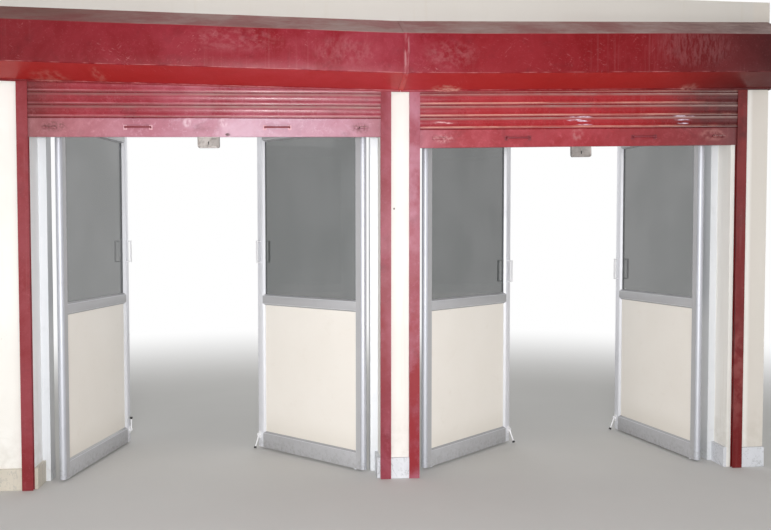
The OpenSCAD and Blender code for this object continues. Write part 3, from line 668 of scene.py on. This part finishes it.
def hoodSheet(side):
    shape = hoodShape
    build = bmesh.new()
    start = endLeft if side < 0 else -shape["overlap"]
    end = shape["overlap"] if side < 0 else endRight
    foldedSheet(build, start, end, hoodLine())
    foot = hoodZ + shape["underRise"]
    cutAt(build, 0, steps(start, end, shape["step"]))
    cutAt(build, 2, steps(foot + shape["rowEdge"], foot + shape["front"] - shape["rowEdge"], shape["rows"]))
    for vert in build.verts:
        far = max(0.0, min(1.0, (wallFront - vert.co.y) / shape["out"]))
        if far > 0.99:
            belly = math.sin(math.pi * max(0.0, min(1.0, (vert.co.z - foot) / shape["front"])))
            vert.co.y += belly * shape["swell"] * noise.noise(vert.co * 1.9)
        vert.co.z += far * shape["ripple"] * noise.noise(Vector((vert.co.x * 2.6, 3.1, vert.co.y)))
    bmesh.ops.solidify(build, geom=build.faces[:], thickness=shape["thick"])
    bmesh.ops.transform(build, matrix=hoodTurn(side), verts=build.verts)
    cut = bmesh.ops.bisect_plane(build, geom=build.verts[:] + build.edges[:] + build.faces[:], dist=1e-6,
                                 plane_co=(side * shape["gap"], 0, 0), plane_no=(-side, 0, 0), clear_outer=True)
    bmesh.ops.holes_fill(build, edges=[g for g in cut["geom_cut"] if isinstance(g, bmesh.types.BMEdge)])
    lip = hoodLine()[4][1] - shape["limed"]
    for face in build.faces:
        if face.calc_center_median().z > lip and abs(face.normal.y) > 0.9:
            face.material_index = 1  # the wall lip is limewashed with the wall
    name = "left" if side < 0 else "right"
    settle(build, "hood_sheet_" + name, "front", ["red_paint", "plaster"], ("hood_" + name,))


hoodSheet(-1)
hoodSheet(1)

stripShape = {"width": 0.032, "thick": 0.0016, "out": 0.0012, "crown": (0.0015, 0.001), "crownWide": 0.55}


def jointStrip():
    # cover strip folded over the joint between the two sheets, crowned along its middle
    build = bmesh.new()
    half = stripShape["width"] / 2
    foldedSheet(build, -half, half, hoodLine(stripShape["out"])[1:5])
    cutAt(build, 0, (-half * stripShape["crownWide"], half * stripShape["crownWide"]))
    front, top = stripShape["crown"]
    for vert in build.verts:
        if abs(vert.co.x) < half * 0.7 and vert.co.y < wallFront - 0.1:
            vert.co.y -= front if vert.co.z < hoodZ + 0.3 else top
    bmesh.ops.solidify(build, geom=build.faces[:], thickness=-stripShape["thick"])
    settle(build, "hood_joint_strip", "front", ["red_paint"],
           turn=Matrix.Translation((0, 0, hoodPivot - hoodZ)))


jointStrip()
print("hood folded")


# rolling shutter curtains

curtainShape = {"lath": 0.075, "bow": 0.062, "curl": 0.0055, "sheet": 0.0014, "barHigh": 0.112, "barThick": 0.003,
                "flange": 0.018, "run": 0.050, "guideDeep": 0.030, "guideWide": 0.065, "rollRise": 0.128,
                "step": 0.10, "drop": (0.209, 0.240), "skew": (0.026, 0.044), "wobble": (0.0016, 0.0012),
                "hook": 250, "hookFrom": (0.35, 0.94)}
bays = [leftDoor, (-leftDoor[1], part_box("shutter_guides")[1].x - curtainShape["guideWide"])]
curtainY = wallFront - curtainShape["guideDeep"] / 2
rollZ = hoodZ + hoodShape["underRise"] + curtainShape["rollRise"]


def hangTurn(i):
    middle = sum(bays[i]) / 2
    barZ = doorTop - curtainShape["drop"][i]
    slope = math.atan(curtainShape["skew"][i] / (bays[i][1] - bays[i][0]))
    return (Matrix.Translation((middle, 0, barZ)) @ Matrix.Rotation(-slope, 4, "Y")
            @ Matrix.Translation((-middle, 0, -barZ)))


def curtain(i):
    # bowed laths, each with a curl at its foot that hooks into the one below
    shape = curtainShape
    build = bmesh.new()
    bow, curl = shape["bow"], shape["curl"]
    half = (shape["lath"] - curl) / 2
    depth = bow - math.sqrt(bow ** 2 - half ** 2)
    reach = (depth + curl) / 2
    low = doorTop - shape["drop"][i] + shape["barHigh"] + curl
    start, end = bays[i][0] - shape["run"], bays[i][1] + shape["run"]
    planeY = curtainY - shape["barThick"] / 2
    sweep = math.asin(half / bow)
    rise = build.verts.layers.float.new("rise")
    for k in range(int((rollZ - low) / shape["lath"])):
        foot = low + k * shape["lath"]
        before = len(build.verts)
        centre = Vector((start, planeY + bow - reach, foot + (shape["lath"] + curl) / 2))
        top = build.verts.new(centre + Vector((0, -bow * math.cos(sweep), bow * math.sin(sweep))))
        last = bmesh.ops.spin(build, geom=[top], cent=centre, axis=(1, 0, 0), angle=2 * sweep, steps=9,
                              use_duplicate=False)["geom_last"][0]
        curlCentre = Vector((start, planeY, foot))
        last.co = curlCentre + Vector((0, -curl * shape["hookFrom"][0], curl * shape["hookFrom"][1]))
        bmesh.ops.spin(build, geom=[last], cent=curlCentre, axis=(1, 0, 0), angle=math.radians(shape["hook"]),
                       steps=8, use_duplicate=False)
        for vert in list(build.verts)[before:]:
            vert[rise] = (vert.co.z - foot) / shape["lath"]
    drawOut(build, build.edges[:], (end - start, 0, 0))
    cutAt(build, 0, steps(start, end, shape["step"]))
    wobble = shape["wobble"]
    for vert in build.verts:
        vert.co.y += wobble[0] * noise.noise(Vector((vert.co.x * 2.2, i * 7.0, vert.co.z * 6.0)))
        vert.co.z += wobble[1] * noise.noise(Vector((vert.co.x * 1.7, i * 3.0 + 9.0, vert.co.z * 4.0)))
    bmesh.ops.solidify(build, geom=build.faces[:], thickness=shape["sheet"])
    return build


# creases are where each bar has been struck, from its middle
barShape = {"edge": 0.0008, "step": (0.03, 0.02), "dent": 0.0022, "creases": ((-0.125, 0.10), (0.005,)),
            "creaseDeep": 0.006, "creaseLean": 0.02, "creaseWide": 0.013}


def bottomBar(i):
    # flat plate with an inward flange
    shape = barShape
    thick, high = curtainShape["barThick"], curtainShape["barHigh"]
    build = bmesh.new()
    barZ = doorTop - curtainShape["drop"][i]
    start, end = bays[i][0] - curtainShape["run"], bays[i][1] + curtainShape["run"]
    slab(build, (start, curtainY - thick, barZ), (end, curtainY, barZ + high))
    soften(build, build.edges[:], shape["edge"], 1)
    cutAt(build, 0, steps(start, end, shape["step"][0]))
    cutAt(build, 2, steps(barZ, barZ + high, shape["step"][1]))
    for vert in build.verts:
        across = vert.co.x - (start + end) / 2
        tall = (vert.co.z - barZ) / high
        vert.co.y += shape["dent"] * noise.noise(Vector((vert.co.x * 3.0, 5.0 + i * 9.0, vert.co.z * 5.0)))
        for crease in shape["creases"][i]:
            away = (across - crease - shape["creaseLean"] * (tall - 0.5)) / shape["creaseWide"]
            vert.co.y -= shape["creaseDeep"] * math.exp(-away ** 2) * tall ** 2
    door = (leftDoor, rightDoor)[i]
    lip = slab(build, (max(bays[i][0], door[0]) + thick, curtainY - thick, barZ),
               (min(bays[i][1], door[1]) - thick, curtainY + curtainShape["flange"], barZ + thick))
    soften(build, edgesOf(lip), shape["edge"], 1)
    return build


curtainBuild = bmesh.new()
barBuild = bmesh.new()
for i in (0, 1):
    for make, whole in ((curtain, curtainBuild), (bottomBar, barBuild)):
        part = make(i)
        bmesh.ops.transform(part, matrix=hangTurn(i), verts=part.verts)
        spare = bpy.data.meshes.new("spare")
        part.to_mesh(spare)
        part.free()
        whole.from_mesh(spare)
        bpy.data.meshes.remove(spare)
settle(curtainBuild, "shutter_curtains", "front", ["curtain"], ("shutter_laths",))
settle(barBuild, "shutter_bottom_bars", "front", ["faded_red_paint"], ("bottom_bars",))
print("curtains hung")


# door leaves

leafShape = {"thick": 0.044, "noseX": -0.064, "stile": 0.048, "pivotStile": 0.064, "floorGap": 0.012,
             "bottomRail": 0.100, "midZ": 1.048, "midRail": 0.052, "topRail": 0.076, "meetGap": 0.006,
             "headGap": 0.006, "frame": 0.048, "pin": 0.010, "pinFoot": 0.001, "pinReach": 0.014, "pinIn": 0.002,
             "groove": 0.0016, "edge": 0.0009}
leafTop = doorTop - leafShape["frame"] - leafShape["headGap"]
swings = {joint["child"]: joint for joint in frame["joints"]}


def leafTurn(n):
    # a leaf is drawn closed: pivot at the origin, free edge at +X, outer face at -Y
    joint = swings["leaf_%d" % n]
    side = joint["axis"][2]
    opened = Matrix.Rotation(-side * math.radians(joint["range_deg"][0]), 4, "Z")
    return Matrix.Translation(Vector(joint["pos_m"])) @ opened @ Matrix.Diagonal((side, 1, 1, 1))


def settleLeaf(build, n, name, slot, paints, *hides):
    settle(build, "leaf_%d_%s" % (n, name), "leaf_%d" % n, paints,
           ["leaf_%d_%s" % (n, node) for node in hides], leafTurn(n))


def leafWidth(n):
    first = 1 if n < 3 else 3
    span = swings["leaf_%d" % (first + 1)]["pos_m"][0] - swings["leaf_%d" % first]["pos_m"][0]
    return (span - leafShape["meetGap"]) / 2


def leafFrame(n):
    shape = leafShape
    wide = leafWidth(n)
    low = shape["floorGap"]
    half = shape["thick"] / 2
    nose = shape["noseX"]
    cut = shape["groove"]
    railStart = nose - half + shape["pivotStile"]
    railEnd = wide - shape["stile"]
    build = bmesh.new()
    # hinge stile: a half-round nose, a small groove where it meets the flat, then the square part
    first = build.verts.new((nose, -half, low))
    bow = bmesh.ops.spin(build, geom=[first], cent=(nose, 0, low), axis=(0, 0, 1), angle=-math.pi, steps=18)
    side = [(nose + cut, half), (nose + cut, half - cut), (nose + 2 * cut, half - cut), (nose + 2 * cut, half),
            (railStart, half)]
    side += [(x, -y) for x, y in reversed(side)]
    loop = bow["geom_last"][:1] + [build.verts.new((x, y, low)) for x, y in side]
    for pair in zip(loop, loop[1:] + [first]):
        build.edges.new(pair)
    bmesh.ops.remove_doubles(build, verts=build.verts, dist=1e-6)
    foot = bmesh.ops.contextual_create(build, geom=build.edges[:])["faces"]
    drawOut(build, foot, (0, 0, leafTop - low))
    # each drawn section takes the light its own way: nose, flats and rails, free stile
    # painted light: the nose, the flats and rails, and the free stile are copies of one aluminium painted lighter
    # or darker, standing in for how each drawn section catches the light
    for face in build.faces:
        face.material_index = 1 if face.calc_center_median().x > nose + cut else 2
    for z, high in ((low, shape["bottomRail"]), (shape["midZ"], shape["midRail"]),
                    (leafTop - shape["topRail"], shape["topRail"])):
        bar = slab(build, (railStart, -half, z), (railEnd, half, z + high))
        paintFaces(bar, 1)
        soften(build, edgesOf(bar), shape["edge"])
    soften(build, edgesOf(slab(build, (railEnd, -half, low), (wide, half, leafTop))), shape["edge"])
    for start, end in ((shape["pinFoot"], low + shape["pinIn"]),
                       (leafTop - shape["pinIn"], leafTop + shape["headGap"] + shape["pinReach"])):
        rod(build, (0, 0, start), (0, 0, end), shape["pin"], 24)
    settleLeaf(build, n, "frame", "anodised_aluminium", ["anodised_aluminium", "rail", "nose"], "stiles", "rails")


handleShape = {"long": 0.150, "wide": 0.017, "thick": 0.008, "outer": 0.032, "inner": 0.050,
               "z": (1.415, 1.270), "round": 0.0018}


def leafPulls(n):
    # flat bar bent square into a D, one on each face
    shape = handleShape
    thick = shape["thick"]
    x = leafWidth(n) - (leafShape["stile"] + shape["wide"]) / 2
    middle = shape["z"][0] if n < 3 else shape["z"][1]
    under, over = middle - (shape["long"] + thick) / 2, middle + (shape["long"] + thick) / 2
    build = bmesh.new()
    for face, reach in ((-1, shape["outer"]), (1, shape["inner"])):
        root = face * leafShape["thick"] / 2
        tip = root + face * reach
        inside = tip - face * thick
        outline = [(root, under), (tip, under), (tip, over), (root, over), (root, over - thick),
                   (inside, over - thick), (inside, under + thick), (root, under + thick)]
        side = build.faces.new([build.verts.new((x, y, z)) for y, z in outline])
        grown = drawOut(build, [side], (shape["wide"], 0, 0))
        both = [side] + [g for g in grown if isinstance(g, bmesh.types.BMFace)]
        soften(build, edgesOf({v for f in both for v in f.verts}), shape["round"])
    settleLeaf(build, n, "door_pulls", "anodised_aluminium", ["pull"], "pulls")


# the foot is half a turned outline, as radius and height over the arm's end
holderShape = {"z": 0.098, "in": 0.015, "wide": 0.026, "plate": 0.052, "off": 0.013, "rod": 0.0045, "pin": 0.0025,
               "pinOver": 0.0015, "slack": 0.001, "lean": 22.0, "foot": 0.010, "footGap": 0.003, "sheet": 0.002,
               "plateRound": 0.005, "earRound": 0.0042, "screwAt": (0.0085, 0.019),
               "screw": (0.0012, 0.0032, 14, 0.0022), "ball": 1.25, "flipped": 1,
               "footLine": [(0, 0), (0.0086, 0), (0.010, 0.0014), (0.010, 0.006), (0.0088, 0.0075),
                            (0.0088, 0.0088), (0.0098, 0.0098), (0.0085, 0.0125), (0.0058, 0.0150),
                            (0.0045, 0.0155)]}


def leafHolder(n):
    # kick-down holder: back plate, two ears, a pin, and an arm with a rubber foot
    shape = holderShape
    x, y, z = leafWidth(n) - shape["in"], -leafShape["thick"] / 2, shape["z"]
    half, sheet, thick = shape["wide"] / 2, shape["sheet"], shape["rod"]
    pinY = y - shape["off"]
    build = bmesh.new()
    plate = slab(build, (x - half, y - sheet, z - shape["plate"] / 2), (x + half, y, z + shape["plate"] / 2))
    soften(build, edgesAlong(plate, 1), shape["plateRound"], 4)
    ear = half - thick - shape["slack"]
    for side in (-1, 1):
        middle = x + side * (half - ear / 2)
        lug = slab(build, (middle - ear / 2, pinY - thick, z - 2 * thick), (middle + ear / 2, y, z + 2 * thick))
        soften(build, [e for e in edgesAlong(lug, 0) if all(v.co.y < pinY for v in e.verts)], shape["earRound"], 4)
        for end in (-1, 1):
            across, along = shape["screwAt"]
            stud(build, (x + side * across, y - sheet, z + end * along), *shape["screw"])
    reach = half + shape["pinOver"]
    rod(build, (x - reach, pinY, z), (x + reach, pinY, z), shape["pin"], 14)
    long = z - shape["footGap"]
    lean = math.pi
    if n != shape["flipped"]:
        lean = -math.radians(shape["lean"])
        long = (long - shape["foot"] * math.sin(-lean)) / math.cos(lean)
    arm = rod(build, (0, 0, 0), (0, 0, -long), thick, 20)
    arm += bmesh.ops.create_uvsphere(build, u_segments=16, v_segments=10, radius=thick * shape["ball"])["verts"]
    turned = [build.verts.new((r, 0, up - long)) for r, up in shape["footLine"]]
    outline = [build.edges.new(pair) for pair in zip(turned, turned[1:])]
    bmesh.ops.spin(build, geom=turned + outline, cent=(0, 0, 0), axis=(0, 0, 1), angle=2 * math.pi, steps=20,
                   use_merge=True)
    footVerts = [v for v in build.verts if v.co.z < 0.0156 - long and v not in arm and abs(v.co.x) < 0.02
                 and abs(v.co.y) < 0.02]
    paintFaces(footVerts, 1)
    bmesh.ops.transform(build, matrix=Matrix.Translation((x, pinY, z)) @ Matrix.Rotation(lean, 4, "X"),
                        verts=arm + footVerts)
    bmesh.ops.remove_doubles(build, verts=footVerts, dist=1e-5)
    settleLeaf(build, n, "door_holder", "dull_steel", ["pull", "black_rubber"], "holder")


lockShape = {"leaf": 2, "low": 0.997, "high": 1.063, "over": 0.016, "wide": 0.020, "thick": 0.0012, "round": 0.004,
             "screw": (0.0045, 0.0036), "screwRise": 0.0008, "slot": (0.010, 0.024), "slotDeep": (0.0004, 0.0003)}


def leafLock():
    # lock plate let into the free edge, with a bolt slot between two bright screws
    shape = lockShape
    n = shape["leaf"]
    x, half = leafWidth(n), shape["wide"] / 2
    face = x + shape["thick"]
    build = bmesh.new()
    plate = slab(build, (x, -half, shape["low"] - shape["over"]), (face, half, shape["high"] + shape["over"]))
    soften(build, edgesAlong(plate, 0, 0.0005), shape["round"], 3)
    for z in (shape["low"], shape["high"]):
        head = rod(build, (face, 0, z), (face + shape["screwRise"], 0, z), shape["screw"][0], 20, shape["screw"][1])
        paintFaces(head, 1)
    middle = (shape["low"] + shape["high"]) / 2
    wide, tall = shape["slot"]
    sunk, proud = shape["slotDeep"]
    slot = slab(build, (x + sunk, -wide / 2, middle - tall / 2), (face + proud, wide / 2, middle + tall / 2))
    paintFaces(slot, 2)
    settleLeaf(build, n, "lock_plate", "dull_steel", ["rail", "pull", "black_rubber"])


for n in (1, 2, 3, 4):
    leafFrame(n)
    leafPulls(n)
    leafHolder(n)
leafLock()
print("leaves dressed")


# fittings on the bottom bars

barFront = curtainY - curtainShape["barThick"]


def barMiddle(i):
    return doorTop - curtainShape["drop"][i] + curtainShape["barHigh"] / 2


pullShape = {"long": 0.160, "rod": 0.005, "out": 0.026, "bend": 0.009, "apart": 0.830,
             "foot": (0.022, 0.003, 0.030), "footRound": 0.005, "rivetAt": 0.34,
             "rivet": (0.0018, 0.0032, 12, 0.0018)}


def barPulls():
    # round bar bent to a flat D between two riveted feet
    shape = pullShape
    build = bmesh.new()
    leg, bend, out = shape["long"] / 2 - shape["rod"], shape["bend"], shape["out"]
    path = [(-leg, 0), (-leg, bend - out)]
    path += [(bend * (1 - math.cos(a)) - leg, bend - out - bend * math.sin(a)) for a in (0.5, 1.0, math.pi / 2)]
    path = [Vector((x, y, 0)) for x, y in path + [(-x, y) for x, y in reversed(path)]]
    wide, thick, high = shape["foot"]
    for i in (0, 1):
        before = len(build.verts)
        for side in (-1, 1):
            middle = Vector((sum(bays[i]) / 2 + side * shape["apart"] / 2, barFront, barMiddle(i)))
            ring = bmesh.ops.create_circle(
                build, segments=14, radius=shape["rod"],
                matrix=Matrix.Translation(middle + path[0]) @ Matrix.Rotation(math.pi / 2, 4, "X"))["verts"]
            for k in range(1, len(path)):
                loop = list({e for v in ring for e in v.link_edges if all(w in ring for w in e.verts)})
                step = path[k] - path[k - 1]
                ring = [g for g in drawOut(build, loop, step) if isinstance(g, bmesh.types.BMVert)]
                # sets the new ring square to the path
                ahead = path[k + 1] - path[k] if k + 1 < len(path) else step
                heading = (step.normalized() + ahead.normalized()).normalized()
                for vert in ring:
                    off = vert.co - middle - path[k]
                    vert.co = middle + path[k] + (off - off.dot(heading) * heading).normalized() * shape["rod"]
            for foot in (-1, 1):
                x, y, z = middle.x + foot * leg, barFront, middle.z
                plate = slab(build, (x - wide / 2, y - thick, z - high / 2), (x + wide / 2, y, z + high / 2))
                paintFaces(plate, 1 - i)  # the feet are pale on the left shutter alone: rubbed paint, with a painted glint
                soften(build, edgesAlong(plate, 1), shape["footRound"], 3)
                for end in (-1, 1):
                    rivet = stud(build, (x, y - thick, z + end * high * shape["rivetAt"]), *shape["rivet"])
                    paintFaces(rivet, 1 - i)
        bmesh.ops.transform(build, matrix=hangTurn(i), verts=list(build.verts)[before:])
    settle(build, "shutter_bar_pulls", "front", ["painted_rod", "worn_foot_and_glint"], ("bar_pulls",))


latchShape = {"in": 0.122, "long": 0.084, "rod": 0.006, "boltRound": 0.0012, "knob": 0.004, "stem": (0.0028, 0.014),
              "knobAt": (0.012, 0.018), "staple": 0.028, "strap": 0.012, "strapOut": 0.003, "strapOver": 0.002,
              "strapRound": 0.004, "sheet": 0.002, "edge": 0.0007, "rivetAt": 0.0112,
              "rivet": (0.0014, 0.0022, 10, 0.0012)}


def barLatches():
    # bolt under two bent straps, with a turned knob
    shape = latchShape
    build = bmesh.new()
    thick, half, sheet = shape["rod"], shape["strap"] / 2, shape["sheet"]
    y = barFront - thick
    for i in (0, 1):
        before = len(build.verts)
        z = barMiddle(i)
        for x, way in ((bays[i][0] + shape["in"], -1), (bays[i][1] - shape["in"], 1)):
            bolt = rod(build, (x - shape["long"] / 2, y, z), (x + shape["long"] / 2, y, z), thick, 18)
            soften(build, [e for e in edgesOf(bolt) if abs(e.verts[0].co.x - e.verts[1].co.x) < 1e-5
                           and e.calc_length() < 0.004], shape["boltRound"])
            for side in (-1, 1):
                middle = x + side * shape["long"] / 3
                tall = thick + shape["strapOver"]
                strap = slab(build, (middle - half, y - thick - shape["strapOut"], z - tall),
                             (middle + half, barFront, z + tall))
                soften(build, [e for e in edgesAlong(strap, 0) if all(v.co.y < barFront - 0.01 for v in e.verts)],
                       shape["strapRound"], 3)
                ear = slab(build, (middle - half, barFront - sheet, z - shape["staple"] / 2),
                           (middle + half, barFront, z + shape["staple"] / 2))
                soften(build, edgesOf(ear), shape["edge"], 1)
                for end in (-1, 1):
                    stud(build, (middle, barFront - sheet, z + end * shape["rivetAt"]), *shape["rivet"])
            knob = Vector((x - way * shape["long"] / 8, y, z))
            stud(build, knob, shape["stem"][1], shape["stem"][0], 14, None)
            start, end = shape["knobAt"]
            stud(build, knob - Vector((0, start, 0)), end - start, shape["knob"], 14, shape["knob"] * 0.8)
        bmesh.ops.transform(build, matrix=hangTurn(i), verts=list(build.verts)[before:])
    settle(build, "shutter_bar_latches", "front", ["faded_red_paint"], ("bar_latches",))


barPulls()
barLatches()
print("bar fittings bolted on")


# lock boxes under the bottom bars

boxShape = {"wide": 0.132, "high": 0.066, "deep": 0.024, "corner": 0.012, "rim": 0.0016, "panel": (0.010, 0.0022),
            "keyhole": (0.005, 0.024, 0.047), "eye": 0.006, "eyeZ": 0.022}


def lockBoxes():
    shape = boxShape
    build = bmesh.new()
    for i in (0, 1):
        middle = sum(bays[i]) / 2
        barZ = doorTop - curtainShape["drop"][i]
        case = slab(build, (middle - shape["wide"] / 2, barFront, barZ - shape["high"]),
                    (middle + shape["wide"] / 2, barFront + shape["deep"], barZ))
        soften(build, [e for e in edgesAlong(case, 1, 0.01) if all(v.co.z < barZ - 0.01 for v in e.verts)],
               shape["corner"], 4)
        rim = [e for e in build.edges if all(
            v.co.y < barFront + 1e-5 and abs(v.co.x - middle) < shape["wide"] for v in e.verts)]
        soften(build, rim, shape["rim"])
        faces = [f for f in build.faces if f.normal.y < -0.9 and abs(f.calc_center_median().x - middle) < 0.05]
        bmesh.ops.inset_region(build, faces=faces, thickness=shape["panel"][0], depth=-shape["panel"][1])
        wide, top, foot = shape["keyhole"]
        paintFaces(slab(build, (middle - wide / 2, barFront - 0.0004, barZ - foot),
                        (middle + wide / 2, barFront + 0.004, barZ - top)), 1)
        eyeZ = barZ - shape["eyeZ"]
        rod(build, (middle, barFront - 0.0006, eyeZ), (middle, barFront + 0.003, eyeZ), shape["eye"], 18)
        bmesh.ops.transform(build, matrix=hangTurn(i),
                            verts=[v for v in build.verts if abs(v.co.x - middle) < shape["wide"]])
    settle(build, "shutter_lock_boxes", "front", ["dull_steel", "black_rubber"], ("lock_housings",))


lockBoxes()
print("lock boxes hung")
